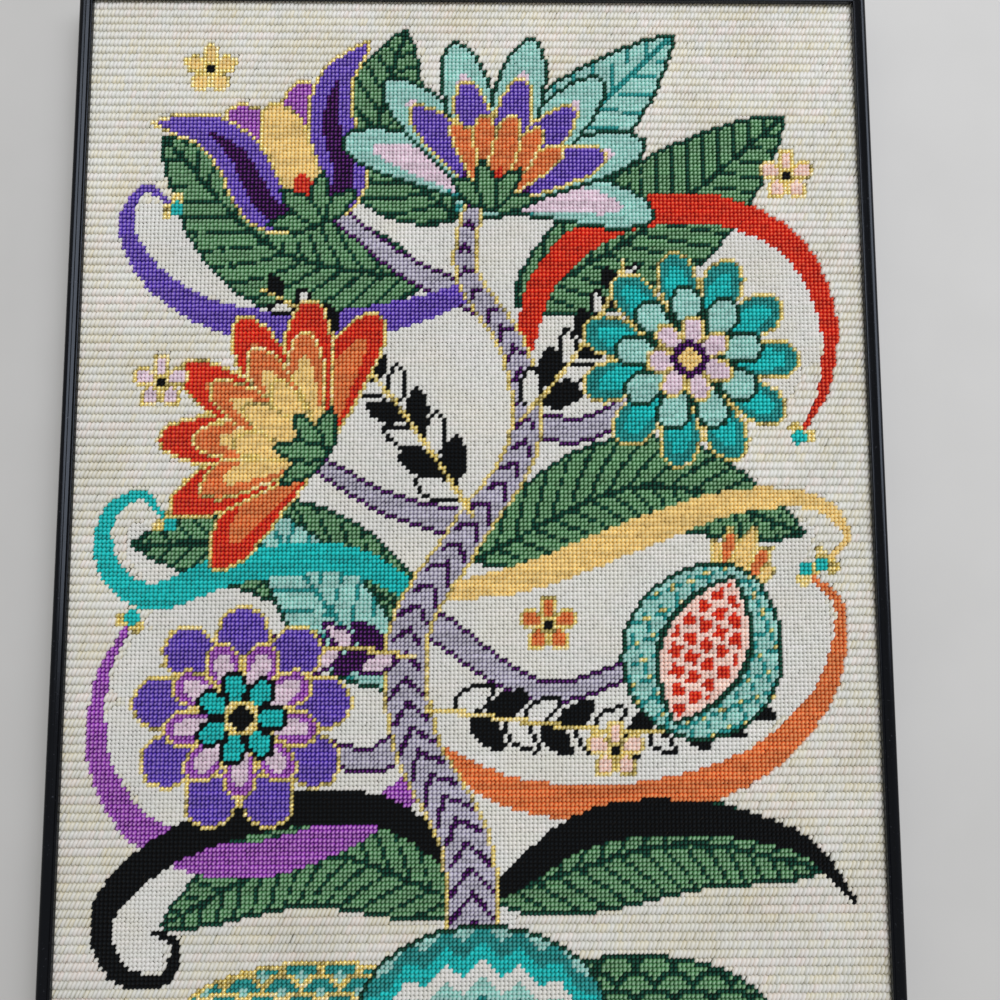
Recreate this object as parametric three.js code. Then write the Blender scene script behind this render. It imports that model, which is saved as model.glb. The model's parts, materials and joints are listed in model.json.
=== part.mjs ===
// A framed needlepoint canvas: one stitched canvas, stretched flat in a narrow black metal
// frame of four mitred rails. It lies on its back, stitched side up.
// Millimetres. +X is to the viewer's right, +Y to the picture's top, +Z out of the stitches.
// The origin is the centre of the frame's back, on the surface that it lies on.
import * as THREE from 'three';
import { mergeVertices } from 'three/addons/utils/BufferGeometryUtils.js';

// Canvas count. The visible opening is a whole number of canvas threads each way.
const THREADS_PER_INCH = 14;
const PITCH = 25.4 / THREADS_PER_INCH;
const OPENING_WIDTH = 196 * PITCH;
const OPENING_HEIGHT = 252 * PITCH;

// Frame section, measured across the rail (from the opening outwards) and up from the back.
const FACE = 6.0;
const DEPTH = 20.0;
const WALL = 1.3;
const FLANGE = 1.4;
const LEDGE = 1.2;
const LEDGE_SETBACK = 0.9;
const BEAD_TOP = 19.2;
const BEAD_RADIUS = 0.5;
const COVE_FLOOR = 18.7;
const CROWN_RADIUS = 1.9;
const OUTER_SHOULDER = 18.2;
const LIP_UNDERSIDE = 17.1;
const ARC_STEPS = 6;

// The canvas with its stitches, and the room it has in the frame's groove.
const FIT_GAP = 0.3;
const SHEET_THICKNESS = 2.1;
const SIDE_CLEARANCE = 0.5;
const GRID_ACROSS = 18;
const GRID_UP = 24;
// The stretched canvas stays level this far in from the lip, and swells softly further in.
const LEVEL_MARGIN = 6;
const SWELL_FADE = 45;

const SHEET_TOP = LIP_UNDERSIDE - FIT_GAP;
const SHEET_BOTTOM = SHEET_TOP - SHEET_THICKNESS;
const LEDGE_TOP = SHEET_BOTTOM - FIT_GAP;
const GROOVE_REACH = FACE - WALL;
const SHEET_WIDTH = OPENING_WIDTH + 2 * (GROOVE_REACH - SIDE_CLEARANCE);
const SHEET_HEIGHT = OPENING_HEIGHT + 2 * (GROOVE_REACH - SIDE_CLEARANCE);

// Soft swells of the worked canvas: centre, spread and height of each.
const SWELLS = [
  { x: 0, y: 30, spread: 120, height: 0.7 },
  { x: -95, y: -150, spread: 60, height: 0.35 },
  { x: 110, y: -120, spread: 55, height: 0.3 },
  { x: 120, y: 150, spread: 50, height: -0.3 },
  { x: -125, y: 120, spread: 50, height: -0.25 },
];

const blackMetal = new THREE.MeshStandardMaterial({ color: 0x14161a, roughness: 0.28, metalness: 0.6 });
const stitchedCloth = new THREE.MeshStandardMaterial({ color: 0xe6dfd0, roughness: 0.9, metalness: 0.0 });

// The closed outline of a rail: crown, cove and bead on the face, a groove for the canvas
// between lip and ledge, and a flange along the back.
function railSection() {
  const outline = new THREE.Shape();
  outline.moveTo(FACE, 0);
  outline.lineTo(FACE, OUTER_SHOULDER);
  outline.absellipse(
    FACE - CROWN_RADIUS, OUTER_SHOULDER,
    CROWN_RADIUS, DEPTH - OUTER_SHOULDER,
    0, Math.PI * 0.8, false, 0,
  );
  outline.lineTo(3 * BEAD_RADIUS, COVE_FLOOR);
  outline.absarc(BEAD_RADIUS, BEAD_TOP - BEAD_RADIUS, BEAD_RADIUS, 0.15 * Math.PI, Math.PI, false);
  outline.lineTo(0, LIP_UNDERSIDE);
  outline.lineTo(GROOVE_REACH, LIP_UNDERSIDE);
  outline.lineTo(GROOVE_REACH, LEDGE_TOP);
  outline.lineTo(LEDGE_SETBACK, LEDGE_TOP);
  outline.lineTo(LEDGE_SETBACK, LEDGE_TOP - LEDGE);
  outline.lineTo(GROOVE_REACH, LEDGE_TOP - LEDGE);
  outline.lineTo(GROOVE_REACH, FLANGE);
  outline.lineTo(LEDGE_SETBACK, FLANGE);
  outline.lineTo(LEDGE_SETBACK, 0);
  outline.closePath();
  return outline;
}

// Merges the shared corners, so that each mesh is one closed body.
function welded(geometry) {
  geometry.deleteAttribute('normal');
  geometry.deleteAttribute('uv');
  const closed = mergeVertices(geometry, 1e-4);
  closed.computeVertexNormals();
  return closed;
}

// A rail along X, with both ends mitred. Its lip's edge is at y = 0 and its face is up.
function railGeometry(openingLength) {
  const geometry = new THREE.ExtrudeGeometry(railSection(), {
    depth: 1, bevelEnabled: false, curveSegments: ARC_STEPS,
  });
  const mitreBack = FIT_GAP / Math.SQRT2;
  const place = geometry.getAttribute('position');
  for (let i = 0; i < place.count; i += 1) {
    const across = place.getX(i);
    const up = place.getY(i);
    const end = place.getZ(i) > 0.5 ? 1 : -1;
    const halfLength = openingLength / 2 + across - mitreBack;
    place.setXYZ(i, end * halfLength, across, up);
  }
  return welded(geometry);
}

function smoothStep(t) {
  const s = Math.min(Math.max(t, 0), 1);
  return s * s * (3 - 2 * s);
}

// How far the canvas stands off its level at a point: nothing at the frame, a little inside.
function swellAt(x, y) {
  const fromEdge = Math.min(OPENING_WIDTH / 2 - Math.abs(x), OPENING_HEIGHT / 2 - Math.abs(y));
  const share = smoothStep((fromEdge - LEVEL_MARGIN) / SWELL_FADE);
  let sum = 0;
  for (const s of SWELLS) {
    sum += s.height * Math.exp(-((x - s.x) ** 2 + (y - s.y) ** 2) / (2 * s.spread ** 2));
  }
  return share * sum;
}

// The canvas as one closed sheet: a grid of points on both faces, joined round the edge.
function sheetGeometry() {
  const across = GRID_ACROSS + 1;
  const perFace = across * (GRID_UP + 1);
  const points = [];
  for (const base of [SHEET_TOP, SHEET_BOTTOM]) {
    for (let j = 0; j <= GRID_UP; j += 1) {
      for (let i = 0; i <= GRID_ACROSS; i += 1) {
        const x = SHEET_WIDTH * (i / GRID_ACROSS - 0.5);
        const y = SHEET_HEIGHT * (j / GRID_UP - 0.5);
        points.push(x, y, base + swellAt(x, y));
      }
    }
  }
  const faces = [];
  const quad = (a, b, c, d) => faces.push(a, b, c, a, c, d);
  for (let j = 0; j < GRID_UP; j += 1) {
    for (let i = 0; i < GRID_ACROSS; i += 1) {
      const at = j * across + i;
      quad(at, at + 1, at + 1 + across, at + across);
      quad(perFace + at, perFace + at + across, perFace + at + across + 1, perFace + at + 1);
    }
  }
  for (let i = 0; i < GRID_ACROSS; i += 1) {
    const far = GRID_UP * across + i;
    quad(perFace + i, perFace + i + 1, i + 1, i);
    quad(far, far + 1, perFace + far + 1, perFace + far);
  }
  for (let j = 0; j < GRID_UP; j += 1) {
    const near = j * across;
    const right = near + GRID_ACROSS;
    quad(perFace + near + across, perFace + near, near, near + across);
    quad(perFace + right, perFace + right + across, right + across, right);
  }
  const geometry = new THREE.BufferGeometry();
  geometry.setAttribute('position', new THREE.Float32BufferAttribute(points, 3));
  geometry.setIndex(faces);
  geometry.computeVertexNormals();
  return geometry;
}

function named(name, geometry, material) {
  const mesh = new THREE.Mesh(geometry, material);
  mesh.name = name;
  return mesh;
}

// The four rails: each one's name, opening side, and the turn that brings it to its place.
const RAILS = [
  { name: 'rail_top', length: OPENING_WIDTH, x: 0, y: OPENING_HEIGHT / 2, turn: 0 },
  { name: 'rail_bottom', length: OPENING_WIDTH, x: 0, y: -OPENING_HEIGHT / 2, turn: Math.PI },
  { name: 'rail_left', length: OPENING_HEIGHT, x: -OPENING_WIDTH / 2, y: 0, turn: Math.PI / 2 },
  { name: 'rail_right', length: OPENING_HEIGHT, x: OPENING_WIDTH / 2, y: 0, turn: -Math.PI / 2 },
];

const picture = new THREE.Group();
const frame = new THREE.Group();
for (const side of RAILS) {
  const rail = named(side.name, railGeometry(side.length), blackMetal);
  rail.rotation.z = side.turn;
  rail.position.set(side.x, side.y, 0);
  frame.add(rail);
}
picture.add(frame);
picture.add(named('needlepoint_canvas', sheetGeometry(), stitchedCloth));

export default picture;
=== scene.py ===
# Dresses a framed needlepoint canvas: every stitch of its chart, the canvas under them, the black
# metal rails and a plain studio. Sizes are in millimetres until a mesh is made, and the chart is
# counted in canvas threads, from its lower left corner.
import json
import math
from collections import namedtuple
from functools import lru_cache

import bpy
import numpy as np
from bpy.props import FloatProperty, FloatVectorProperty, IntProperty, PointerProperty
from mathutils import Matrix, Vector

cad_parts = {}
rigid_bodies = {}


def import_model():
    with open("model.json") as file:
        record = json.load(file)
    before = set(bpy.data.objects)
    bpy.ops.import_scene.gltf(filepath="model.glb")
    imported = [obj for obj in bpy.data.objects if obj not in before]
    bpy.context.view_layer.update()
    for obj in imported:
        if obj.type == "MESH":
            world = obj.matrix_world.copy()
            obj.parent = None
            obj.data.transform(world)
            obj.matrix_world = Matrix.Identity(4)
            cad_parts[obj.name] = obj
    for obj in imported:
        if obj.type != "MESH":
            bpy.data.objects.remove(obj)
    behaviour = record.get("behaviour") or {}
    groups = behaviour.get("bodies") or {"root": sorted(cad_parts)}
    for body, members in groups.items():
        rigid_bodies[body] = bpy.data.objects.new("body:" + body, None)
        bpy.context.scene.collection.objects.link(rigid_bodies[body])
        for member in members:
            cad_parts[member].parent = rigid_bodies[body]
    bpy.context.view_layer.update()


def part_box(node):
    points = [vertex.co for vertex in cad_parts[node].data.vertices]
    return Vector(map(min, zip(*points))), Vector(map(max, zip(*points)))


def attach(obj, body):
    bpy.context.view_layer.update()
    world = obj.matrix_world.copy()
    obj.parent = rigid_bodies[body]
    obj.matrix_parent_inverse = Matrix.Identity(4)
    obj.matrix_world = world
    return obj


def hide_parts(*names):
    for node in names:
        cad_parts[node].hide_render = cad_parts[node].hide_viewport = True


bl_info = {
    "name": "Framed needlepoint canvas",
    "version": (1, 0, 0),
    "blender": (4, 5, 0),
    "location": "View3D > Sidebar > Needlepoint",
    "description": "Works a charted canvas stitch by stitch and finishes its black metal frame",
    "category": "Object",
}

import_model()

MM = 0.001
RAILS = ("rail_top", "rail_bottom", "rail_left", "rail_right")

# The opening between the rails, and the canvas count that fills it.
HALF_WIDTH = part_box("rail_right")[0][0] / MM
HALF_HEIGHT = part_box("rail_top")[0][1] / MM
THREADS_PER_INCH = 14
PITCH = 25.4 / THREADS_PER_INCH
COLS = round(2 * HALF_WIDTH / PITCH)
ROWS = round(2 * HALF_HEIGHT / PITCH)
SHEET_LOW, SHEET_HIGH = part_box("needlepoint_canvas")

# Heights above the surface that the frame lies on, and how deep the stitches' edges are sunk in
# the canvas. Their crowns stay under the rails' lip.
REVERSE_LOW = 14.72
CANVAS_LOW = 14.95
CANVAS_TOP = 15.5
SUNK = 0.15

# The canvas stays level near the rails and swells softly further in, as its solid does.
LEVEL_MARGIN = 6
SWELL_FADE = 45
Swell = namedtuple("Swell", "x y spread height")
SWELLS = [
    Swell(0, 30, 120, 0.7),
    Swell(-95, -150, 60, 0.35),
    Swell(110, -120, 55, 0.3),
    Swell(120, 150, 50, -0.3),
    Swell(-125, 120, 50, -0.25),
]


def linear(value):
    """The linear colour of an sRGB hex value."""
    parts = [int(value[i:i + 2], 16) / 255 for i in (0, 2, 4)]
    return [c / 12.92 if c <= 0.04045 else ((c + 0.055) / 1.055) ** 2.4 for c in parts]


def colour(title, description, value):
    """A colour that a user can change, from its sRGB hex value."""
    return FloatVectorProperty(name=title, description=description, subtype="COLOR", size=3,
                               min=0, max=1, default=linear(value))


def length(title, description, value):
    """A length that a user can change, given in millimetres."""
    return FloatProperty(name=title, description=description, default=value * MM, min=0,
                         unit="LENGTH")


class NeedlepointStitches(bpy.types.PropertyGroup):
    """Sizes of the stitches."""
    tent_half_width: length("Tent stitch half width", "Half the width of a tent stitch", 1.00)
    tent_height: length("Tent stitch height", "How far a tent stitch stands off the canvas", 1.00)
    slant_half_width: length(
        "Slanting stitch half width", "Half the width of a slanting stitch", 1.13)
    slant_height: length(
        "Slanting stitch height", "How far a slanting stitch stands off the canvas", 1.12)
    unevenness: FloatProperty(
        name="Unevenness", description="How much the stitches differ in width and height",
        default=0.09, min=0, max=0.3, subtype="FACTOR")
    seed: IntProperty(name="Seed", description="Changes how the stitches differ", default=14, min=0)


class NeedlepointThreads(bpy.types.PropertyGroup):
    """Colours of the threads."""
    cream: colour("Cream", "Ground, in slanting stitches", "E2E2DB")
    white: colour("White", "Inner ground, in tent stitches", "DFDED8")
    dark_green: colour("Dark green", "Veins and outlines", "104030")
    mid_green: colour("Mid green", "Leaves", "72A076")
    mint: colour("Mint", "Pale leaves and petals", "A8D5CC")
    deep_teal: colour("Deep teal", "Petals and scales", "19938F")
    turquoise: colour("Turquoise", "Small petals and strokes", "02C1BE")
    purple: colour("Purple", "Petals", "7C5DC1")
    orchid: colour("Orchid", "Petals and strokes", "B369C5")
    plum: colour("Plum", "Bark and flower hearts", "431356")
    pink: colour("Pink", "Petal hearts", "E4D1DB")
    lavender: colour("Lavender grey", "Trunk and branches", "C3BFCB")
    yellow: colour("Yellow", "Petals and strokes", "F0D28B")
    orange: colour("Orange", "Petals and strokes", "E18448")
    scarlet: colour("Scarlet", "Petals, seeds and strokes", "DB3306")
    peach: colour("Peach", "Small flowers", "F6D8CB")
    black: colour("Black", "Scrolls, leaflets and flower eyes", "05080B")
    gold: colour("Gold", "Metallised outlines", "F6E499")


class NeedlepointFrame(bpy.types.PropertyGroup):
    """Finish of the rails, and the bare canvas's colour, painted dark as shade."""
    enamel: colour("Enamel", "Gloss black of the rails", "05060B")
    # Painted shade: the bare canvas is coloured dark brown for the shade under and between the
    # stitches.
    bare_canvas: colour("Bare canvas", "Cotton canvas under the stitches", "40392E")


class NeedlepointStage(bpy.types.PropertyGroup):
    """Floor, light and camera."""
    floor: colour("Floor", "Paper under the frame", "CFCECB")
    light_power: FloatProperty(
        name="Window light", description="Power of the large soft light", default=20.5, min=0,
        unit="POWER")
    room_light: FloatProperty(
        name="Room light", description="Strength of the light from all round", default=0.34, min=0)
    lens: FloatProperty(
        name="Lens", description="Focal length in millimetres on a 36 mm sensor", default=27.04,
        min=1)
    eye: FloatVectorProperty(
        name="Camera place", description="Where the camera stands", subtype="TRANSLATION",
        unit="LENGTH", default=(7.94 * MM, -32.88 * MM, 351.06 * MM))
    aim: FloatVectorProperty(
        name="Camera turn", description="How the camera is turned from straight down",
        subtype="EULER", default=[math.radians(angle) for angle in (4.54, -0.59, -0.11)])


THREADS = list(NeedlepointThreads.__annotations__)
CODE = {name: i for i, name in enumerate(THREADS)}


def swell_at(x, y):
    """How far the stretched canvas stands off its level at a point."""
    from_edge = np.minimum(HALF_WIDTH - np.abs(x), HALF_HEIGHT - np.abs(y))
    t = np.clip((from_edge - LEVEL_MARGIN) / SWELL_FADE, 0, 1)
    height = sum(s.height * np.exp(-((x - s.x) ** 2 + (y - s.y) ** 2) / (2 * s.spread ** 2))
                 for s in SWELLS)
    return t * t * (3 - 2 * t) * height


# The chart. Its shapes are worked out at the middle of each crossing of the canvas, with sizes and
# places in stitches.

def smooth_line(points, steps=12):
    """A smooth (Catmull-Rom) curve through a few given points."""
    p = [np.array(q, float) for q in points]
    p = [2 * p[0] - p[1]] + p + [2 * p[-1] - p[-2]]
    line = []
    for a, b, c, d in zip(p, p[1:], p[2:], p[3:]):
        for t in np.arange(steps) / steps:
            line.append(0.5 * (2 * b + (c - a) * t + (2 * a - 5 * b + 4 * c - d) * t ** 2
                               + (3 * b - a - 3 * c + d) * t ** 3))
    return np.array(line + [p[-2]])


def curl(start, heading, run, bend, wind, steps=40, late=2.2):
    """A line that leaves start at a heading and winds ever tighter, from bend to wind, in degrees a
    stitch. The higher late is, the nearer to its end it winds."""
    x, y = start
    angle = math.radians(heading)
    points = [(x, y)]
    for t in (np.arange(steps) + 0.5) / steps:
        angle += math.radians(bend + (wind - bend) * t ** late) * run / steps
        x += run / steps * math.cos(angle)
        y += run / steps * math.sin(angle)
        points.append((x, y))
    return np.array(points)


def turned(centre, angle, points):
    """Places points that are given in a flower's own frame, with its tip along +X."""
    a = math.radians(angle)
    return [(centre[0] + x * math.cos(a) - y * math.sin(a),
             centre[1] + x * math.sin(a) + y * math.cos(a)) for x, y in points]


def heading_of(step):
    """The heading of a step from one place to the next, in degrees."""
    return math.degrees(math.atan2(*step[::-1]))


class Patch:
    """A rectangle of the chart that holds all within a reach of some points, and its stitches'
    middles."""

    def __init__(self, points, reach):
        low = np.floor(np.min(points, axis=0) - reach - 2).astype(int)
        high = np.ceil(np.max(points, axis=0) + reach + 2).astype(int)
        c0, c1 = np.clip((low[0], high[0]), 0, COLS)
        r0, r1 = np.clip((low[1], high[1]), 0, ROWS)
        self.area = (slice(r0, r1), slice(c0, c1))
        self.x, self.y = np.meshgrid(np.arange(c0, c1) + 0.5, np.arange(r0, r1) + 0.5)


class Ribbon(Patch):
    """Where each stitch near a line lies: how far along it and off it, and on which side."""

    def __init__(self, line, reach):
        line = np.array(line, float)
        super().__init__(line, reach)
        step = np.diff(line, axis=0)
        size = np.hypot(step[:, 0], step[:, 1])
        before = np.concatenate([[0], np.cumsum(size)])
        dx = self.x[..., None] - line[:-1, 0]
        dy = self.y[..., None] - line[:-1, 1]
        t = np.clip((dx * step[:, 0] + dy * step[:, 1]) / size ** 2, 0, 1)
        away = np.hypot(dx - t * step[:, 0], dy - t * step[:, 1])
        cross = step[:, 0] * dy - step[:, 1] * dx
        near = away.argmin(axis=-1)[..., None]
        away, cross, t = (np.take_along_axis(value, near, -1)[..., 0] for value in (away, cross, t))
        near = near[..., 0]
        self.off = away
        self.side = away * np.where(cross < 0, -1, 1)
        self.run = before[near] + t * size[near]
        self.along = self.run / before[-1]


def rim(mask):
    """The outermost stitches of a shape."""
    p = np.pad(mask, 1)
    return mask & ~(p[:-2, 1:-1] & p[2:, 1:-1] & p[1:-1, :-2] & p[1:-1, 2:])


def spread(mask, radius):
    """The stitches within a distance of a shape."""
    tall = mask.shape[0]
    out = np.zeros_like(mask)
    for dy in range(-radius, radius + 1):
        half = int((radius ** 2 - dy ** 2) ** 0.5)
        total = np.cumsum(np.pad(mask, ((0, 0), (half + 1, half))), axis=1)
        row = (total[:, 2 * half + 1:] - total[:, :-2 * half - 1]) > 0
        if dy >= 0:
            out[dy:] |= row[:tall - dy]
        else:
            out[:dy] |= row[-dy:]
    return out


class Chart:
    """The thread of each crossing of the canvas, drawn from the back shape to the front one."""

    def __init__(self):
        self.cells = np.full((ROWS, COLS), CODE["cream"], np.uint8)

    def fill(self, patch, mask, thread):
        self.cells[patch.area][mask] = CODE[thread]

    def edge(self, patch, mask, thread):
        self.fill(patch, rim(mask), thread)


def leaf_share(s, belly, point):
    """A leaf's half width along it: nothing at both ends, widest where belly says."""
    return np.sin(math.pi * np.clip(s, 0, 1) ** belly) ** point


PETAL_FULLNESS = 1.95
PETAL_WAIST = 0.75


def petal_share(s):
    """A petal's half width along it: narrow at its base and round at its outer end."""
    s = np.clip(s, 0, 1)
    return PETAL_FULLNESS * np.sqrt(1 - s) * s ** PETAL_WAIST


# How far a side vein runs on towards the tip for each stitch that it goes out, and the widths of
# the side veins and the midrib.
VEIN_SLANT = 0.87
VEIN_WIDTH = 1.15
MIDRIB_HALF_WIDTH = 0.6


def leaf(chart, spine, half_width, thread, edge=None, vein=None, spacing=5.2, belly=0.85,
         point=0.72):
    """A leaf on a curved midrib, with side veins that slant towards its tip."""
    r = Ribbon(spine, half_width)
    shape = r.off < half_width * leaf_share(r.along, belly, point)
    chart.fill(r, shape, thread)
    if vein:
        lines = (r.run - VEIN_SLANT * r.off) / spacing % 1 < VEIN_WIDTH / spacing
        chart.fill(r, shape & (lines | (r.off < MIDRIB_HALF_WIDTH)), vein)
    if edge:
        chart.edge(r, shape, edge)


# How much of a petal's length its root takes, and how far the root's end curves back. How much of
# its width its heart takes, and how much sooner the heart ends.
ROOT_SHARE = 0.42
ROOT_CURVE = 0.05
HEART_SHARE = 0.52
HEART_SOONER = 1.25


def petal(chart, base, angle, run, half_width, thread, edge=None, root=None, heart=None, bend=0.0):
    """One petal. Root and heart are the threads of its base and its middle."""
    r = Ribbon(smooth_line(turned(base, angle, [(0, 0), (run / 2, bend), (run, 0)])), half_width)
    half = half_width * petal_share(r.along)
    shape = r.off < half
    chart.fill(r, shape, thread)
    if root:
        chart.fill(r, shape & (r.along < ROOT_SHARE - ROOT_CURVE * r.off), root)
    if heart:
        inner = r.off < HEART_SHARE * half_width * petal_share(HEART_SOONER * r.along)
        chart.fill(r, shape & inner, heart)
    if edge:
        chart.edge(r, shape, edge)


def disc(chart, centre, radius, thread):
    """A round spot."""
    near = Patch([centre], radius)
    chart.fill(near, np.hypot(near.x - centre[0], near.y - centre[1]) < radius, thread)


Ring = namedtuple(
    "Ring", "petals reach run half_width turn thread edge root heart", defaults=(None, None))
# A disc behind each ring of petals, this far in from their tips as a share of their length, fills
# the gaps between their roots.
BACKING_SHARE = 0.55


def rosette(chart, centre, rings, eye):
    """A full flower seen from above, from its outermost ring of petals inwards."""
    for ring in rings:
        disc(chart, centre, ring.reach - BACKING_SHARE * ring.run, ring.edge)
        for k in range(ring.petals):
            angle = ring.turn + 360 * k / ring.petals
            base = turned(centre, angle, [(ring.reach - ring.run, 0)])[0]
            petal(chart, base, angle, ring.run, ring.half_width, ring.thread, ring.edge, ring.root,
                  ring.heart)
    for radius, thread in eye:
        disc(chart, centre, radius, thread)


def calyx(chart, base, angle, size, leans, tuck=-2, middle=0.5, tip=1.25, half_width=0.3):
    """Small green leaves that hold a flower at its base, two at each lean. They start a little
    under it, and their other sizes are shares of the calyx's."""
    for lean in leans:
        for hand in (-1, 1):
            places = [(tuck, 0), (size * middle, 0), (size * tip, 0)]
            spine = turned(base, angle + hand * lean, places)
            leaf(chart, smooth_line(spine), size * half_width, "mid_green", edge="dark_green",
                 belly=0.8, point=0.7)


Fan = namedtuple(
    "Fan", "petals run half_width spread thread edge root heart", defaults=(None, None))
LOTUS_SEPALS = (70, 25)
# A petal that leans 90 degrees is this much shorter, and a petal bends this much for each degree.
LEANING_SHORTENS = 0.1
LEANING_BENDS = -0.035


def lotus(chart, base, angle, fans, calyx_size):
    """A flower seen from its side: fans of petals, each in front of the one before."""
    for fan in fans:
        middle = (fan.petals - 1) / 2
        for k in sorted(range(fan.petals), key=lambda k: -abs(k - middle)):
            lean = fan.spread * (k - middle) / middle
            run = fan.run * (1 - LEANING_SHORTENS * abs(lean) / 90)
            petal(chart, base, angle + lean, run, fan.half_width, fan.thread, fan.edge, fan.root,
                  fan.heart, bend=LEANING_BENDS * lean)
    calyx(chart, base, angle, calyx_size, LOTUS_SEPALS)


# A tulip's inner petals: their lean, length, half width, thread and root. Lengths and widths are
# shares of its own, as in the midrib of an outer petal.
TULIP_HEART = [(15, 0.98, 0.30, "orchid", None), (0, 0.88, 0.26, "yellow", "scarlet")]
TULIP_FLARE = [(0, 0), (0.20, 0.34), (0.60, 0.42), (0.86, 0.60), (1.04, 1)]
TULIP_PETAL = 0.23
TULIP_STRIPE = 0.09
TULIP_CALYX = 0.34
TULIP_SEPALS = (75, 28)


def tulip(chart, base, angle, run, width):
    """A cup with two flared outer petals and three inner ones."""
    for lean, reach, half, thread, root in TULIP_HEART:
        for hand in (1, -1):
            petal(chart, base, angle + hand * lean, run * reach, width * half, thread, "gold", root)
    for hand in (1, -1):
        flare = turned(base, angle, [(run * x, hand * width * y) for x, y in TULIP_FLARE])
        leaf(chart, smooth_line(flare), width * TULIP_PETAL, "purple", edge="gold", belly=0.7,
             point=0.62)
        leaf(chart, smooth_line(flare[:4]), width * TULIP_STRIPE, "plum", belly=0.8)
    calyx(chart, base, angle, width * TULIP_CALYX, TULIP_SEPALS)


# The fruit's forms, as shares of its half length. Each pair of sepals in its crown has a lean, a
# length and a thread.
CROWN = [(46, 0.56, "yellow"), (24, 0.66, "orange"), (0, 0.72, "yellow")]
CROWN_PLACE = 0.78
SEPAL_HALF_WIDTH = 0.14
FRUIT_HALF_WIDTH = 0.9
CUT_HALF_WIDTH = 0.52
CUT_START, CUT_RUN = 0.06, 0.88
# The net on its skin and the seeds in its flesh. Lines, knots and seeds are shares of a mesh.
NET_MESH = 6.4
NET_LINE = 0.18
NET_KNOT_HALF = 0.16
RIND = 1.4
SEED_MESH = 4.2
SEED_HALF = 0.34
SEED_MARGIN = 3


def pomegranate(chart, centre, angle, size):
    """A round fruit with a netted skin and a crown, cut open over its seeds."""
    crown = turned(centre, angle, [(size * CROWN_PLACE, 0)])[0]
    for lean, reach, thread in CROWN:
        for hand in (1, -1):
            spine = smooth_line(turned(crown, angle + hand * lean, [(0, 0), (size * reach, 0)]))
            leaf(chart, spine, size * SEPAL_HALF_WIDTH, thread, edge="gold", belly=0.8)
    r = Ribbon(turned(centre, angle, [(-size, 0), (size, 0)]), size)
    body = r.off < FRUIT_HALF_WIDTH * size * leaf_share(r.along, belly=0.9, point=0.5)
    u = (r.run + r.side) / NET_MESH % 1
    v = (r.run - r.side) / NET_MESH % 1
    near_u, near_v = (np.abs(share - NET_LINE / 2) < NET_KNOT_HALF for share in (u, v))
    chart.fill(r, body, "mint")
    chart.fill(r, body & ((u < NET_LINE) | (v < NET_LINE)), "deep_teal")
    chart.fill(r, body & near_u & near_v, "gold")
    within = (r.along - CUT_START) / CUT_RUN
    cut = CUT_HALF_WIDTH * size * leaf_share(within, belly=1, point=0.75)
    chart.fill(r, r.off < cut, "dark_green")
    chart.fill(r, r.off < cut - RIND, "peach")
    half_step = 0.5 * (np.floor(r.run / SEED_MESH) % 2)
    seeds = ((np.abs(r.run / SEED_MESH % 1 - 0.5) < SEED_HALF)
             & (np.abs((r.side / SEED_MESH + half_step) % 1 - 0.5) < SEED_HALF))
    chart.fill(r, (r.off < cut - SEED_MARGIN) & seeds, "scarlet")
    chart.edge(r, body, "dark_green")


def small_flower(chart, centre, reach, thread, petals=5, half_width=0.39, eye=0.33, ring=1.1):
    """A few short petals round a dark eye in a gold ring."""
    for k in range(petals):
        petal(chart, centre, 90 + 360 / petals * k, reach, half_width * reach, thread, "gold")
    disc(chart, centre, eye * reach, "gold")
    disc(chart, centre, eye * reach - ring, "black")


# The berries' leans and threads, how far they stand off a stroke's end, and their radius.
BERRIES = [(75, "gold"), (0, "turquoise")]
BERRY_REACH = 2.1
BERRY_RADIUS = 1.75


def stroke(chart, line, swell, thread, root=2.0, tip=0.6, thins=0.9, swells=0.8, berries=True):
    """A curling stroke, thickest near its middle, with three berries at its end. Thins and swells
    are the powers that shape its half width between root and tip."""
    r = Ribbon(line, root + swell)
    taper = (1 - r.along) ** thins
    half = tip + (root - tip) * taper + swell * np.sin(math.pi * r.along ** swells)
    chart.fill(r, r.off < half, thread)
    if berries:
        heading = heading_of(line[-1] - line[-4])
        for lean, berry in BERRIES:
            for hand in (1, -1):
                spot = turned(line[-1], heading + hand * lean, [(BERRY_REACH, 0)])[0]
                disc(chart, spot, BERRY_RADIUS, berry)


# Where a sprig's first leaflet grows along its stem, how far the leaflets lean out, how much
# smaller they get towards its end, and their least half width.
FIRST_LEAFLET = 0.08
LEAFLET_LEAN = 38
LEAFLET_TAPER = 0.5
LEAST_LEAFLET = 1.2


def sprig(chart, line, pairs, run, half_width, dark, pale):
    """Leaflets up both sides of a gold stem. Every other one has a pale middle."""
    before = np.concatenate([[0], np.cumsum(np.hypot(*np.diff(line, axis=0).T))])
    total = before[-1]

    def place(s):
        return np.array([np.interp(np.clip(s, 0, 1) * total, before, line[:, i]) for i in (0, 1)])

    for k in range(pairs):
        for hand, ahead in ((1, 0.0), (-1, 0.5)):
            s = FIRST_LEAFLET + (1 - FIRST_LEAFLET) * (k + ahead) / (pairs + 0.2)
            heading = heading_of(place(s + 0.03) - place(s - 0.03))
            size = 1 - LEAFLET_TAPER * s
            end = turned(place(s), heading + LEAFLET_LEAN * hand, [(size * run, 0)])[0]
            half = max(size * half_width, LEAST_LEAFLET)
            r = Ribbon(smooth_line([place(s), end]), half)
            shape = r.off < half * leaf_share(r.along, belly=0.85, point=0.62)
            chart.fill(r, shape, dark)
            if (k % 2 == 0) == (hand > 0):
                chart.fill(r, shape & ~rim(shape), pale)
    r = Ribbon(line, 1)
    chart.fill(r, r.off < MIDRIB_HALF_WIDTH, "gold")


Mound = namedtuple("Mound", "centre half_width height pattern edge threads")
SCALE_ROWS = 12
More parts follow.
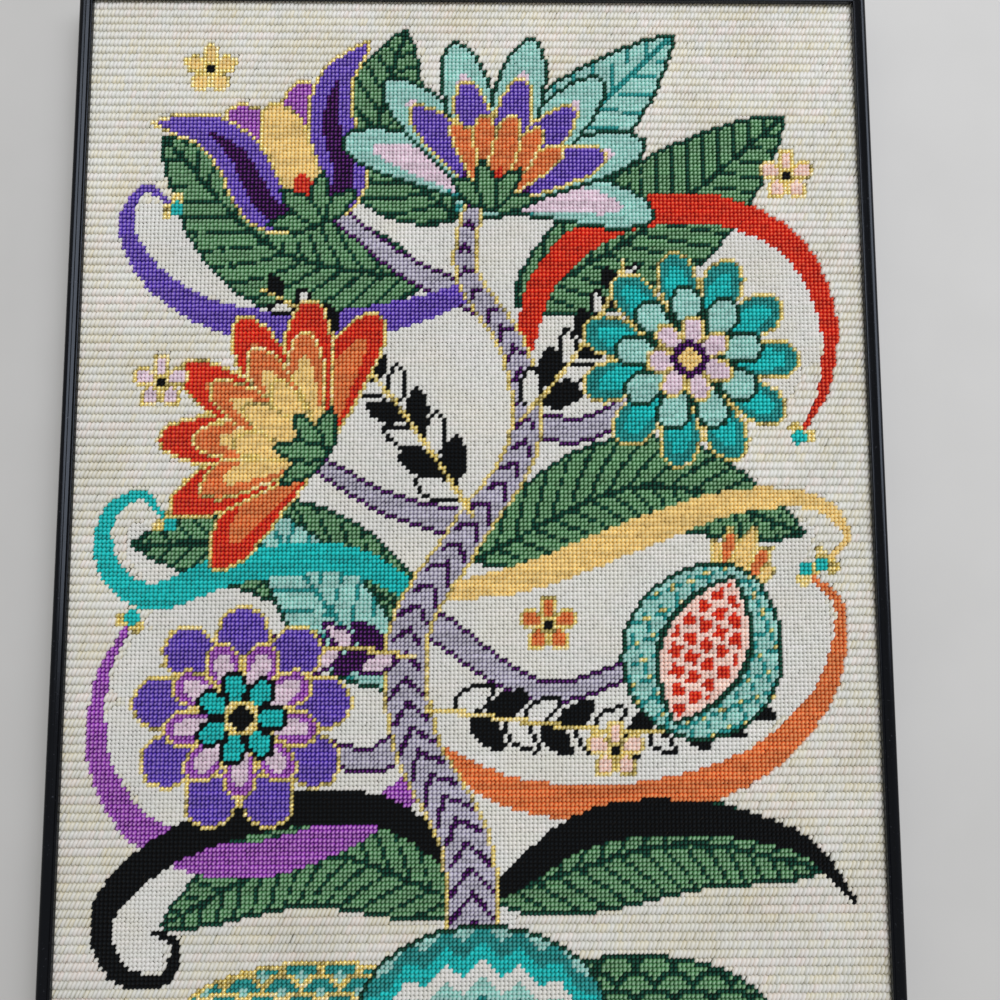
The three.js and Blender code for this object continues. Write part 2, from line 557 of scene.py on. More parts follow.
# The flames' height, and the scales' rise from row to row, start and radius, in pitches.
FLAME_HEIGHT = 0.9
SCALE_RISE = 0.45
SCALE_START = 0.2
SCALE_RADIUS = 0.58
# The width of a scale's edge and the radius of its eye, in stitches.
SCALE_EDGE = 1.2
SCALE_EYE = 1.5


def mound(chart, m, pitch=9.0, band=4.0):
    """A low hill at the foot, worked in flame stripes or in scales."""
    hill = Patch([(m.centre - m.half_width, 0), (m.centre + m.half_width, m.height)], 0)
    x, y = hill.x, hill.y
    top = m.height * np.sqrt(np.clip(1 - ((x - m.centre) / m.half_width) ** 2, 0, 1))
    index = np.zeros(x.shape, int)
    if m.pattern == "flame":
        zigzag = FLAME_HEIGHT * pitch * np.abs((x - m.centre) / pitch % 1 - 0.5)
        index = np.floor((top - y + zigzag) / band).astype(int) % len(m.threads)
    else:
        eye = len(m.threads) - 1 if len(m.threads) > 2 else 0
        for row in range(SCALE_ROWS, -2, -1):
            shift = (row % 2) * pitch / 2 + m.centre
            away = np.hypot(x - np.round((x - shift) / pitch) * pitch - shift,
                            y - (SCALE_RISE * row - SCALE_START) * pitch)
            scale = away < SCALE_RADIUS * pitch
            index[scale] = 0
            index[scale & (away > SCALE_RADIUS * pitch - SCALE_EDGE)] = 1
            index[scale & (away < SCALE_EYE)] = eye
    for i, thread in enumerate(m.threads):
        chart.fill(hill, (y < top) & (index == i), thread)
    chart.fill(hill, rim(y < top) & (y > 1), m.edge)


# What the chart shows, from back to front. Places are in stitches, right and up from its lower left
# corner.
LEAF_STYLES = {
    "green": dict(thread="mid_green", vein="dark_green", edge="dark_green", spacing=5.2),
    "mint": dict(thread="mint", vein="deep_teal", edge="dark_green", spacing=6.5),
}
Leaf = namedtuple("Leaf", "base middle tip half_width style")
LEAVES = [
    Leaf((108, 172), (142, 192), (178, 222), 16, "green"),
    Leaf((94, 194), (74, 214), (80, 245), 13, "green"),
    Leaf((86, 178), (48, 186), (18, 216), 15, "green"),
    Leaf((88, 92), (52, 110), (14, 112), 13, "green"),
    Leaf((98, 108), (140, 126), (180, 114), 13, "green"),
    Leaf((92, 196), (118, 214), (150, 244), 13, "mint"),
    Leaf((84, 78), (66, 92), (44, 122), 11, "mint"),
    Leaf((98, 26), (60, 38), (24, 22), 12, "green"),
    Leaf((102, 28), (146, 40), (182, 34), 12, "green"),
]
BRANCHES = [
    [(84, 66), (70, 60), (44, 72)],
    [(88, 92), (116, 76), (150, 88)],
    [(97, 116), (76, 122), (52, 136)],
    [(112, 141), (128, 141), (152, 158)],
    [(100, 172), (80, 182), (60, 198)],
]
TRUNK = [
    (98, 10), (96, 40), (84, 64), (82, 90), (96, 114), (110, 136), (108, 160), (96, 180), (98, 200)]
# Half widths at the foot, and how much of them is gone at the tip.
BRANCH_FOOT, BRANCH_TAPER = 3.8, 1.8
TRUNK_FOOT, TRUNK_TAPER = 7.0, 4.2
# The bark's slanting marks: how far apart, how steep, their share of that, and how far from the
# trunk's edge they end.
BARK_PITCH = 6
BARK_SLANT = 1.1
BARK_SHARE = 0.27
BARK_MARGIN = 1.4
Stroke = namedtuple("Stroke", "thread swell points berries", defaults=(True,))
STROKES = [
    Stroke("scarlet", 2.6, [
        (110, 159), (116, 179), (134, 194), (158, 197), (178, 188), (187, 170), (186, 152),
        (180, 140)]),
    Stroke("turquoise", 2.4, [
        (85, 99), (66, 108), (40, 106), (20, 99), (9, 106), (8, 118), (16, 124), (22, 118)]),
    Stroke("purple", 2.6, [
        (98, 176), (82, 170), (60, 166), (36, 168), (18, 178), (10, 192), (14, 202), (21, 198)]),
    Stroke("orchid", 2.8, [
        (90, 60), (72, 46), (46, 37), (22, 42), (9, 58), (8, 78), (14, 92)]),
    Stroke("orange", 2.8, [
        (88, 62), (108, 52), (136, 50), (164, 58), (182, 74), (188, 94), (181, 104)]),
    Stroke("yellow", 2.4, [
        (92, 100), (112, 104), (138, 114), (162, 122), (182, 122), (190, 114), (185, 108)]),
    Stroke("black", 2.6, [
        (94, 36), (76, 48), (50, 48), (26, 40), (11, 26), (14, 12), (25, 10), (28, 18), (22, 21)],
        berries=False),
    Stroke("black", 2.8, [(104, 30), (126, 44), (152, 46), (176, 40), (189, 26)], berries=False),
]
Sprig = namedtuple("Sprig", "start heading reach bend wind pairs run half_width dark pale")
SPRIGS = [
    Sprig((98, 118), 122, 80, 0.1, 1.2, 9, 13, 3.6, "black", "white"),
    Sprig((109, 142), 46, 50, 0.3, 1.2, 6, 12, 3.4, "black", "white"),
    Sprig((86, 72), -6, 86, -0.1, 1.7, 9, 12.5, 3.4, "black", "white"),
    Sprig((84, 84), 164, 62, 0.9, -1.4, 8, 11, 3.0, "plum", "pink"),
]
VIOLET_ROSETTE = [
    Ring(9, 27, 19, 7.9, 10, "purple", "gold"),
    Ring(9, 19, 14, 5.4, 30, "orchid", "gold", None, "pink"),
    Ring(7, 11.5, 9.5, 3.8, 0, "turquoise", "black"),
]
TEAL_ROSETTE = [
    Ring(11, 28, 18, 6.5, 0, "deep_teal", "gold", None, "turquoise"),
    Ring(9, 19, 12, 5.2, 12, "mint", "dark_green"),
    Ring(7, 11.5, 9.5, 3.8, 30, "pink", "gold"),
]
FIRE_LOTUS = [
    Fan(7, 42, 7.8, 80, "scarlet", "gold", None, "orange"),
    Fan(5, 33, 6.4, 50, "orange", "gold", None, "yellow"),
    Fan(3, 23, 4.6, 26, "yellow", "gold"),
]
MINT_LOTUS = [
    Fan(7, 46, 8.0, 80, "mint", "dark_green", "deep_teal", "pink"),
    Fan(5, 35, 6.2, 52, "purple", "gold", "plum"),
    Fan(5, 25, 4.5, 38, "orange", "gold", "scarlet"),
]
MOUNDS = [
    Mound(62, 34, 14, "scales", "gold", ["deep_teal", "gold", "mint"]),
    Mound(136, 32, 15, "scales", "dark_green", ["mid_green", "dark_green"]),
    Mound(100, 30, 22, "flame", "dark_green", ["mint", "deep_teal", "turquoise", "white"]),
]
SmallFlower = namedtuple("SmallFlower", "x y reach thread")
SMALL_FLOWERS = [
    SmallFlower(132, 62, 7.5, "peach"),
    SmallFlower(20, 152, 7.5, "pink"),
    SmallFlower(116, 92, 7.5, "orange"),
    SmallFlower(178, 206, 7.5, "peach"),
    SmallFlower(30, 234, 7.0, "yellow"),
]


def draw_tree(chart):
    """Leaves, branches, strokes and the trunk."""
    for row in LEAVES:
        spine = smooth_line([row.base, row.middle, row.tip])
        leaf(chart, spine, row.half_width, **LEAF_STYLES[row.style])
    for points in BRANCHES:
        r = Ribbon(smooth_line(points), BRANCH_FOOT)
        shape = r.off < BRANCH_FOOT - BRANCH_TAPER * r.along
        chart.fill(r, shape, "lavender")
        chart.edge(r, shape, "plum")
    for row in STROKES:
        stroke(chart, smooth_line(row.points), row.swell, row.thread, berries=row.berries)
    r = Ribbon(smooth_line(TRUNK), TRUNK_FOOT)
    half = TRUNK_FOOT - TRUNK_TAPER * r.along
    marks = (r.run + BARK_SLANT * r.off) / BARK_PITCH % 1 < BARK_SHARE
    chart.fill(r, r.off < half, "lavender")
    chart.fill(r, marks & (r.off < half - BARK_MARGIN), "plum")
    chart.edge(r, r.off < half, "gold")


def draw_flowers(chart):
    """Sprigs, flowers, the fruit and the mounds."""
    for row in SPRIGS:
        line = curl(row.start, row.heading, row.reach, row.bend, row.wind)
        sprig(chart, line, row.pairs, row.run, row.half_width, row.dark, row.pale)
    rosette(chart, (42, 70), VIOLET_ROSETTE, eye=[(4.4, "gold"), (2.7, "black")])
    pomegranate(chart, (154, 86), angle=66, size=22)
    lotus(chart, (60, 134), angle=148, fans=FIRE_LOTUS, calyx_size=10)
    rosette(chart, (152, 158), TEAL_ROSETTE, eye=[(4.6, "plum"), (2.6, "yellow")])
    tulip(chart, (58, 194), angle=112, run=38, width=30)
    lotus(chart, (102, 198), angle=76, fans=MINT_LOTUS, calyx_size=10)
    for row in MOUNDS:
        mound(chart, row)
    for row in SMALL_FLOWERS:
        small_flower(chart, (row.x, row.y), row.reach, row.thread)


# Ground that the motifs close in is white. A gap of up to twice this many stitches counts as
# closed, and a pocket with no room for a spot of this radius stays cream where it touches the outer
# ground.
WHITE_GAP = 3
POCKET = 4


@lru_cache(maxsize=None)
def worked_chart():
    """The finished chart: the thread of each crossing, row by row from the foot."""
    chart = Chart()
    draw_tree(chart)
    draw_flowers(chart)
    margin = WHITE_GAP + 2
    worked = np.pad(chart.cells != CODE["cream"], margin)
    free = spread(~spread(worked, WHITE_GAP), WHITE_GAP)
    outside = np.ones_like(worked)
    outside[1:-1, 1:-1] = False
    reached = 0
    while outside.sum() > reached:
        reached = outside.sum()
        outside = spread(outside, 1) & free
    inner = ~spread(outside, WHITE_GAP + 1) & ~worked
    core = ~spread(~inner, POCKET)
    inner &= spread(core, POCKET + WHITE_GAP) | ~spread(outside, 2 * WHITE_GAP + 2)
    chart.cells[inner[margin:-margin, margin:-margin]] = CODE["white"]
    return chart.cells


# Stitches. Each is a plump bead of thread from one hole of the canvas to another, with its lower
# edges sunk in the canvas. A girth says how far along a bead it lies, and its share of the bead's
# width and height.
Girth = namedtuple("Girth", "along width height")
TENT_STITCH = [Girth(0.13, 0.84, 0.62), Girth(0.5, 1.0, 1.0), Girth(0.87, 0.84, 0.62)]
SLANTING_STITCH = [
    Girth(0.02, 0.80, 0.58), Girth(0.30, 1.0, 1.0), Girth(0.70, 1.0, 1.0), Girth(0.98, 0.80, 0.58)]
REVERSE_ROW = [Girth(0.04, 1.0, 1.0), Girth(0.96, 1.0, 1.0)]
SECTION = [(-1.0, 0.0), (-0.34, 1.0), (0.34, 1.0), (1.0, 0.0)]

# Both of these multiply the unevenness: the most that a bead's sizes differ, and how far its crown
# drifts to a side, in millimetres.
MOST_UNEVEN = 1.8
CROWN_DRIFT = 0.8

# One length of thread works this many stitches of a row. A stitch's shade is this much that of its
# length, and this much its own.
SHORTEST_LENGTH = 9
LONGEST_LENGTH = 38
LENGTH_SHADE = 0.65
OWN_SHADE = 0.30


def bead_faces(girths):
    """The triangles of one bead, as numbers of its points: a tip, the girths, a tip."""
    side = len(SECTION)
    last = 1 + girths * side
    faces = []
    for p in range(side - 1):
        faces.append((0, 1 + p, 2 + p))
        for k in range(girths - 1):
            a = 1 + k * side + p
            faces.append((a, a + side, a + side + 1))
            faces.append((a, a + side + 1, a + 1))
        faces.append((last - side + p, last, last - side + p + 1))
    return np.array(faces)


def beads(starts, ends, level, half_width, height, girths, rng=None, unevenness=0.0):
    """The points of many beads, a row for each, on the swell of the canvas. With a random
    generator, each one's width, height and place differ a little."""
    count = len(starts)
    vary = np.ones((count, 2))
    drift = np.zeros((count, 2))
    if rng:
        for part, share in ((vary, 1.0), (drift, CROWN_DRIFT)):
            uneven = np.clip(rng.standard_normal((count, 2)), -MOST_UNEVEN, MOST_UNEVEN)
            part += share * unevenness * uneven
    middle = (starts + ends) / 2
    base = level + swell_at(middle[:, 0], middle[:, 1])
    along = ends - starts
    across = np.stack([-along[:, 1], along[:, 0]], axis=1)
    across /= np.hypot(along[:, 0], along[:, 1])[:, None]
    points = [np.column_stack([starts, base])]
    for girth in girths:
        for out, up in SECTION:
            sideways = across * (out * girth.width * half_width * vary[:, 0])[:, None]
            where = starts + along * girth.along + sideways + drift * girth.height
            points.append(np.column_stack([where, base + up * girth.height * height * vary[:, 1]]))
    points.append(np.column_stack([ends, base]))
    return np.stack(points, axis=1)


def rise_of(girths):
    """How high each point of one bead stands, from 0 at the canvas to 1 at its crown; the
    materials paint shade low down and a highlight high up by it.
    """
    return np.array([0.0] + [up * girth.height for girth in girths for _, up in SECTION] + [0.0])


def add_object(name, data):
    """Adds an object to the scene."""
    obj = bpy.data.objects.new(name, data)
    bpy.context.scene.collection.objects.link(obj)
    return obj


def mesh_object(name, points, faces, **values):
    """A smooth object from points in millimetres and faces of one kind, with values at its points.
    Its flat map is seen from the front, so that every piece of the canvas shares one map."""
    side = faces.shape[1]
    mesh = bpy.data.meshes.new(name)
    mesh.vertices.add(len(points))
    mesh.vertices.foreach_set("co", (points * MM).astype(np.float32).ravel())
    mesh.loops.add(faces.size)
    mesh.loops.foreach_set("vertex_index", faces.astype(np.int32).ravel())
    mesh.polygons.add(len(faces))
    mesh.polygons.foreach_set("loop_start", np.arange(0, faces.size, side, dtype=np.int32))
    mesh.update(calc_edges=True)
    mesh.shade_smooth()
    for key, value in values.items():
        kind, field = ("FLOAT", "value") if value.ndim == 1 else ("FLOAT_COLOR", "color")
        layer = mesh.attributes.new(key, kind, "POINT")
        layer.data.foreach_set(field, value.astype(np.float32).ravel())
    low = np.array(SHEET_LOW[:2]) / MM
    high = np.array(SHEET_HIGH[:2]) / MM
    flat = ((points[:, :2] - low) / (high - low))[faces.ravel()]
    mesh.uv_layers.new(name="OFBake").data.foreach_set("uv", flat.astype(np.float32).ravel())
    mesh.validate()
    return add_object(name, mesh)


Beads = namedtuple("Beads", "stitches faces rise look")


def joined_beads(name, groups, look):
    """One object from groups of beads. Each bead has one look: its tone or its tint."""
    points, faces, rises, looks, first = [], [], [], [], 0
    for group in groups:
        count, each = group.stitches.shape[:2]
        firsts = first + each * np.arange(count)
        points.append(group.stitches.reshape(-1, 3))
        faces.append((group.faces[None] + firsts[:, None, None]).reshape(-1, 3))
        rises.append(np.tile(group.rise, count))
        looks.append(np.repeat(group.look, each, axis=0))
        first += count * each
    values = {"rise": np.concatenate(rises), look: np.concatenate(looks)}
    return mesh_object(name, np.concatenate(points), np.concatenate(faces), **values)


def hole(col, row):
    """The place of a hole of the canvas, in millimetres, from its column and row."""
    return np.stack([(col - COLS / 2) * PITCH, (row - ROWS / 2) * PITCH], axis=-1)


@lru_cache(maxsize=None)
def covered_chart():
    """The chart with one more row and column of thread all round, which the rails' lip covers."""
    return np.pad(worked_chart(), 1, mode="edge")


def crossings(name):
    """Where a thread is worked in tent stitch, and the lower crossings of its slanting stitches,
    which work two rows of the ground as one."""
    tents = covered_chart() == CODE[name]
    pairs = np.zeros_like(tents)
    if name == "cream":
        pairs[1:-1:2] = tents[1:-1:2] & tents[2::2]
        tents &= ~(pairs | np.roll(pairs, 1, axis=0))
    return tents, pairs


def shades(col, row, rng):
    """A shade for each stitch, from -1 to 1: mostly that of its length of thread."""
    rows, cols = covered_chart().shape
    run = rng.integers(SHORTEST_LENGTH, LONGEST_LENGTH, rows)[row]
    shift = rng.integers(0, LONGEST_LENGTH, rows)[row]
    lengths = rng.uniform(-1, 1, (rows, (cols - 2 + LONGEST_LENGTH) // SHORTEST_LENGTH + 2))
    of_length = lengths[row, (col + shift) // run]
    return np.clip(LENGTH_SHADE * of_length + OWN_SHADE * rng.standard_normal(len(col)), -1, 1)


def work_thread(name, sizes):
    """Every stitch of one thread, as one object."""
    rng = np.random.default_rng([sizes.seed, CODE[name]])
    groups = []

    def add(mask, span, half_width, height, girths):
        row, col = np.nonzero(mask)
        starts = hole(col - 1, row - 1)
        ends = starts + np.array(span) * PITCH
        stitches = beads(starts, ends, CANVAS_TOP - SUNK, half_width / MM, height / MM + SUNK,
                         girths, rng, sizes.unevenness)
        look = shades(col, row, rng)
        groups.append(Beads(stitches, bead_faces(len(girths)), rise_of(girths), look))

    tents, pairs = crossings(name)
    add(tents, (1, 1), sizes.tent_half_width, sizes.tent_height, TENT_STITCH)
    if pairs.any():
        add(pairs, (1, 2), sizes.slant_half_width, sizes.slant_height, SLANTING_STITCH)
    return joined_beads("stitches_" + name, groups, "tone")


# The reverse: the threads' slanting backs lie close in rows, in the colours of the front.
# A run is at most this long, by turns, so that the joins of neighbouring rows don't line up.
LONGEST_RUNS = (14, 9, 12, 16, 11, 13, 10, 15)
OVERLAP = 0.4
REVERSE_HALF_WIDTH = 0.56 * PITCH


def reverse_runs(cells):
    """Stretches of one thread along each row: row, first column, column past the last, thread."""
    runs = []
    for row, line in enumerate(cells):
        longest = LONGEST_RUNS[row % len(LONGEST_RUNS)]
        start = 0
        for col in range(1, len(line) + 1):
            if col == len(line) or line[col] != line[start] or col - start == longest:
                runs.append((row, start, col, line[start]))
                start = col
    return np.array(runs).T


def work_reverse(threads):
    """The back of every row, as one object with a tint at each point."""
    row, start, end, thread = reverse_runs(covered_chart())
    starts = hole(start - 1 - OVERLAP, row - 0.5)
    ends = hole(end - 1 + OVERLAP, row - 0.5)
    rows = beads(starts, ends, CANVAS_LOW + SUNK, REVERSE_HALF_WIDTH,
                 REVERSE_LOW - CANVAS_LOW - SUNK, REVERSE_ROW)
    colours = np.array([[*getattr(threads, name), 1.0] for name in THREADS])
    faces = bead_faces(len(REVERSE_ROW))[:, ::-1]
    group = Beads(rows, faces, rise_of(REVERSE_ROW), colours[thread])
    return joined_beads("stitches_reverse", [group], "tint")


CANVAS_COLUMNS = 40
CANVAS_ROWS = 50


def closed_sheet(name, low, high):
    """The bare canvas: a closed sheet with the swell of its solid."""
    x, y = np.meshgrid(np.linspace(SHEET_LOW[0], SHEET_HIGH[0], CANVAS_COLUMNS + 1) / MM,
                       np.linspace(SHEET_LOW[1], SHEET_HIGH[1], CANVAS_ROWS + 1) / MM)
    lift = swell_at(x, y)
    top, bottom = (np.stack([x, y, z + lift], axis=-1).reshape(-1, 3) for z in (high, low))
    number = np.arange(len(top)).reshape(x.shape)
    corners = (number[:-1, :-1], number[:-1, 1:], number[1:, 1:], number[1:, :-1])
    cells = np.stack([corner.ravel() for corner in corners], axis=1)
    edge = np.concatenate([number[0], number[1:, -1], number[-1, -2::-1], number[-2:0:-1, 0]])
    after = np.roll(edge, -1)
    sides = np.stack([edge + len(top), after + len(top), after, edge], axis=1)
    faces = np.concatenate([cells, cells[:, ::-1] + len(top), sides])
    return mesh_object(name, np.concatenate([top, bottom]), faces)


# Materials.

def set_inputs(tree, node, inputs):
    """Sets a node's inputs, each to a value or to the output that it links to."""
    for key, value in inputs.items():
        if isinstance(value, bpy.types.NodeSocket):
            tree.links.new(value, node.inputs[key])
        else:
            node.inputs[key].default_value = value


def add_node(tree, kind, inputs=None, output=0, stops=None, **settings):
    """Adds a node with its settings and links, and returns its first output or the one named. A
    ramp's stops are places and linear colours."""
    node = tree.nodes.new("ShaderNode" + kind)
    for key, value in settings.items():
        setattr(node, key, value)
    set_inputs(tree, node, inputs or {})
    if stops:
        elements = node.color_ramp.elements
        elements[0].position, elements[1].position = stops[0][0], stops[-1][0]
        for place, _ in stops[1:-1]:
            elements.new(place)
        for element, (_, value) in zip(elements, stops):
            element.color = (*value, 1)
    return node.outputs[output]


def new_material(name):
    """A material with its node tree and the object's own coordinates."""
    material = bpy.data.materials.new(name)
    material.use_nodes = True
    tree = material.node_tree
    return material, tree, add_node(tree, "TexCoord", output="Object")


def set_shader(tree, **values):
    """Sets the shader's own sockets, named with underscores for spaces."""
    named = {key.replace("_", " "): value for key, value in values.items()}
    set_inputs(tree, tree.nodes["Principled BSDF"], named)


def scaled(base, share):
    """A colour made darker or paler."""
    return [min(c * share, 1.0) for c in base]


# A noise's values mostly lie between these.
MOST_NOISE = (0.3, 0.7)


def patches(tree, place, size, detail, values, shares=MOST_NOISE):
    """A value that goes softly from one to the other of two, in patches of a size in millimetres,
    as a noise goes from one share to the other."""
    noise = add_node(tree, "TexNoise", {
        "Vector": place, "Scale": 1 / (size * MM), "Detail": detail})
    return add_node(tree, "MapRange", {
        "Value": noise, "From Min": shares[0], "From Max": shares[1], "To Min": values[0],
        "To Max": values[1]})


def mottled(tree, place, shade, size, detail, values):
    """A colour made darker and paler in patches, by a factor that goes from one value to the
    other."""
    return add_node(tree, "HueSaturation", {
        "Color": shade, "Value": patches(tree, place, size, detail, values)})


# A strand of the cotton is this wide, laid flat. The film's turns are finer than this in real
# thread, and are drawn as coarse as they need to show.
STRAND = 0.42
FILM_TURN = 0.7
TENT_ANGLE = math.radians(45)
SLANT_ANGLE = math.atan2(2, 1)
BACK_ANGLE = math.atan2(1, 2)
# A wave texture repeats every pi / 10 units at scale 1.
WAVE_REPEAT = math.pi / 10

# The darkest threads are matt, so their stitches run together.
MATT_THREADS = ("black", "dark_green", "plum")
MATT_LOOK = dict(Roughness=0.85, Specular_IOR_Level=0.10, Sheen_Weight=0.04, Sheen_Roughness=0.6)
SILKY_LOOK = dict(Roughness=0.42, Specular_IOR_Level=0.45, Sheen_Weight=0.12, Sheen_Roughness=0.4)
# Grounds were worked with lengths from more than one dye lot, so both ends of their range of
# shades have a cast. The other threads' ends are their own colour, darker and paler.
CASTS = {"cream": ("E7E2D0", "ECE4DD"), "white": ("E1E1DA", "E8E5E0")}
DARKER, PALER = 0.80, 1.18
# The colour of aged cotton, and the most of it that the pale grounds take on.
AGED = "DAD0B4"
YELLOWING = {"cream": 0.32, "white": 0.20}


def strand_bump(tree, place, angle, period, strength, distance):
    """Fine grooves along the stitches, from the strands of the thread."""
    along = add_node(tree, "Mapping", {
        "Vector": place, "Rotation": (0, 0, -angle), "Scale": (1 / MM, 1 / MM, 1 / MM)})
    wave = add_node(tree, "TexWave", {
        "Vector": along, "Scale": WAVE_REPEAT / period, "Distortion": 1.2, "Detail": 1.0,
        "Detail Scale": 0.8}, output="Fac", wave_type="BANDS", bands_direction="Y")
    return add_node(tree, "Bump", {
        "Strength": strength, "Distance": distance * MM, "Height": wave})


# Painted shade and painted highlight: the powers that a thread's shade is raised to, above 1 in the
# gaps between stitches, where it is painted darker as shade, and below 1 on the crowns, where it
# is painted paler as a highlight.
Depth = namedtuple("Depth", "gap crown")
USUAL_PAINTED_SHADE = Depth(1.7, 0.80)
PAINTED_SHADE_POWERS = {
    "cream": Depth(2.1, 0.80),
    "white": Depth(1.2, 0.80),
    "gold": Depth(2.4, 0.80),
    "dark_green": Depth(2.0, 0.70),
    "mid_green": Depth(2.6, 0.62),
    "mint": Depth(2.0, 0.74),
    "deep_teal": Depth(2.0, 0.74),
    "turquoise": Depth(2.3, 0.66),
    "purple": Depth(2.8, 0.56),
    "orchid": Depth(3.2, 0.48),
    "plum": Depth(2.8, 0.52),
    "lavender": Depth(2.8, 0.60),
    "scarlet": Depth(2.5, 0.60),
    "orange": Depth(1.9, 0.76),
    "black": Depth(2.0, 0.72),
}


def painted_gap_shade_and_crown_highlight(tree, shade, name):
    """Painted shade in the gaps between stitches and a painted highlight on the crowns: the colour
    is raised to a higher power where a point stands low and a lower one where it stands high."""
    rise = add_node(tree, "Attribute", output="Fac", attribute_name="rise")
    power = PAINTED_SHADE_POWERS.get(name, USUAL_PAINTED_SHADE)
    painted_power = add_node(tree, "MapRange", {
        "Value": rise, "To Min": power.gap, "To Max": power.crown})
    return add_node(tree, "Gamma", {"Color": shade, "Gamma": painted_power})


def toned(tree, stops):
    """A stitch's colour on its thread's ramp, by its tone from -1 to 1."""
    tone = add_node(tree, "Attribute", output="Fac", attribute_name="tone")
    share = add_node(tree, "MapRange", {"Value": tone, "From Min": -1.0})
    return add_node(tree, "ValToRGB", {"Fac": share}, stops=stops)


def cotton_thread(name, base):
    """Mercerised stranded cotton, laid flat in one direction: a silky sheen off the crowns, fine
    grooves between its strands, and a shade that changes from one length of thread to the next."""
    material, tree, place = new_material("Mercerised stranded cotton, " + name.replace("_", " "))
    if name in CASTS:
        low, high = (linear(value) for value in CASTS[name])
    else:
        low, high = scaled(base, DARKER), scaled(base, PALER)
    shade = toned(tree, [(0.0, low), (0.5, base), (1.0, high)])
    if name in YELLOWING:
        aged = patches(tree, place, size=22, detail=3.0, values=(0.0, YELLOWING[name]),
                       shares=(0.42, 0.70))
        shade = add_node(tree, "Mix", {"Factor": aged, "A": shade, "B": (*linear(AGED), 1)},
                         output="Result", data_type="RGBA")
    worn = mottled(tree, place, shade, size=40, detail=2.0, values=(0.95, 1.04))
    angle = SLANT_ANGLE if name == "cream" else TENT_ANGLE
    grooves = strand_bump(tree, place, angle, STRAND, strength=0.45, distance=0.06)
    look = MATT_LOOK if name in MATT_THREADS else SILKY_LOOK
    # Base colour with painted shade in the gaps and a painted highlight on the crowns.
    set_shader(tree, Base_Color=painted_gap_shade_and_crown_highlight(tree, worn, name), Normal=grooves, **look)
    return material


def metallised_thread(base):
    """A metallised film wound round a core: small bright facets between dark turns, so a line of
    stitches looks like a row of beads. Its stitches go at random from dark gold up to a pale
    painted glint, partly the film's own variegation and partly painted glints, and its gaps take a
    painted shade."""
    material, tree, place = new_material("Metallised film thread, gold")
    # Per stitch at random from dark gold up to a pale painted glint colour (F8ECC4).
    shade = toned(tree, [
        (0.0, scaled(base, 0.36)), (0.3, scaled(base, 0.78)), (0.6, base), (1.0, linear("F8ECC4"))])
    turns = add_node(tree, "TexNoise", {
        "Vector": place, "Scale": 1 / (FILM_TURN * MM), "Detail": 1.0})
    bump = add_node(tree, "Bump", {"Strength": 0.6, "Distance": 0.15 * MM, "Height": turns})
    # Painted shade in the gaps and a painted highlight on the crowns.
    set_shader(tree, Base_Color=painted_gap_shade_and_crown_highlight(tree, shade, "gold"), Normal=bump, Metallic=0.35,
               Roughness=0.34, Specular_IOR_Level=0.6)
    return material


def reverse_thread():
    """The same threads from behind, where their slanting backs overlap: flatter and fuzzier."""
    material, tree, place = new_material("Mercerised stranded cotton, reverse")
    tint = add_node(tree, "Attribute", attribute_name="tint")
    worn = mottled(tree, place, tint, size=2.6, detail=2.0, values=(0.78, 1.04))
    slants = strand_bump(tree, place, BACK_ANGLE, PITCH * math.sin(BACK_ANGLE), strength=0.9,
                         distance=0.35)
    set_shader(tree, Base_Color=worn, Normal=slants, Roughness=0.72,
               Specular_IOR_Level=0.3, Sheen_Weight=0.15, Sheen_Roughness=0.5)
    return material


def mono_canvas(base):
    """Sized cotton mono canvas: hard, dull threads round square holes. The holes are painted near
    black as shade, and the threads take the dark canvas colour, itself painted shade.
    """
    material, tree, place = new_material("Cotton mono canvas, sized")
    counted = add_node(tree, "Mapping", {
        "Vector": place, "Scale": (1 / (PITCH * MM), 1 / (PITCH * MM), 1)})
    from_hole = add_node(tree, "TexVoronoi", {"Vector": counted, "Scale": 1.0, "Randomness": 0.0},
                         voronoi_dimensions="2D", distance="CHEBYCHEV")
    # Painted shade: near black at the holes, the canvas colour between them.
    weave_with_painted_hole_shade = add_node(tree, "ValToRGB", {"Fac": from_hole}, stops=[
        (0.24, linear("120E0A")), (0.36, base), (0.5, scaled(base, 1.1))])
    bump = add_node(tree, "Bump", {"Strength": 0.8, "Distance": 0.3 * MM, "Height": from_hole})
    set_shader(tree, Base_Color=weave_with_painted_hole_shade, Normal=bump, Roughness=0.85, Specular_IOR_Level=0.2)
    return material


def gloss_enamel(base):
    """Aluminium extrusion in gloss black enamel: near black with crisp reflections, a faint haze
    and a few specks of dust."""
    material, tree, place = new_material("Gloss enamelled aluminium")
    specks = patches(tree, place, size=1.1, detail=3.0, values=(0.0, 0.30), shares=(0.66, 0.80))
    dusty = add_node(tree, "Mix", {
        "Factor": specks, "A": (*base, 1), "B": (*linear("6B6E78"), 1)},
        output="Result", data_type="RGBA")
    haze = patches(tree, place, size=30, detail=4.0, values=(0.12, 0.24))
    set_shader(tree, Base_Color=dusty, Roughness=haze, Specular_IOR_Level=0.34,
               Specular_Tint=(*linear("DCE6F4"), 1))
    return material


def studio_paper(base):
    """Matt seamless paper under the frame."""
    material, tree, place = new_material("Seamless studio paper")
    fibre = mottled(tree, place, (*base, 1), size=60, detail=3.0, values=(0.98, 1.02))
    set_shader(tree, Base_Color=fibre, Roughness=0.9, Specular_IOR_Level=0.2)
    return material


def dress(obj, material, *replaced):
    """Gives a new piece its material and its place in the frame."""
    obj.data.materials.append(material)
    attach(obj, "root")
    if replaced:
        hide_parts(*replaced)


# What the add-on does, one step at a time.

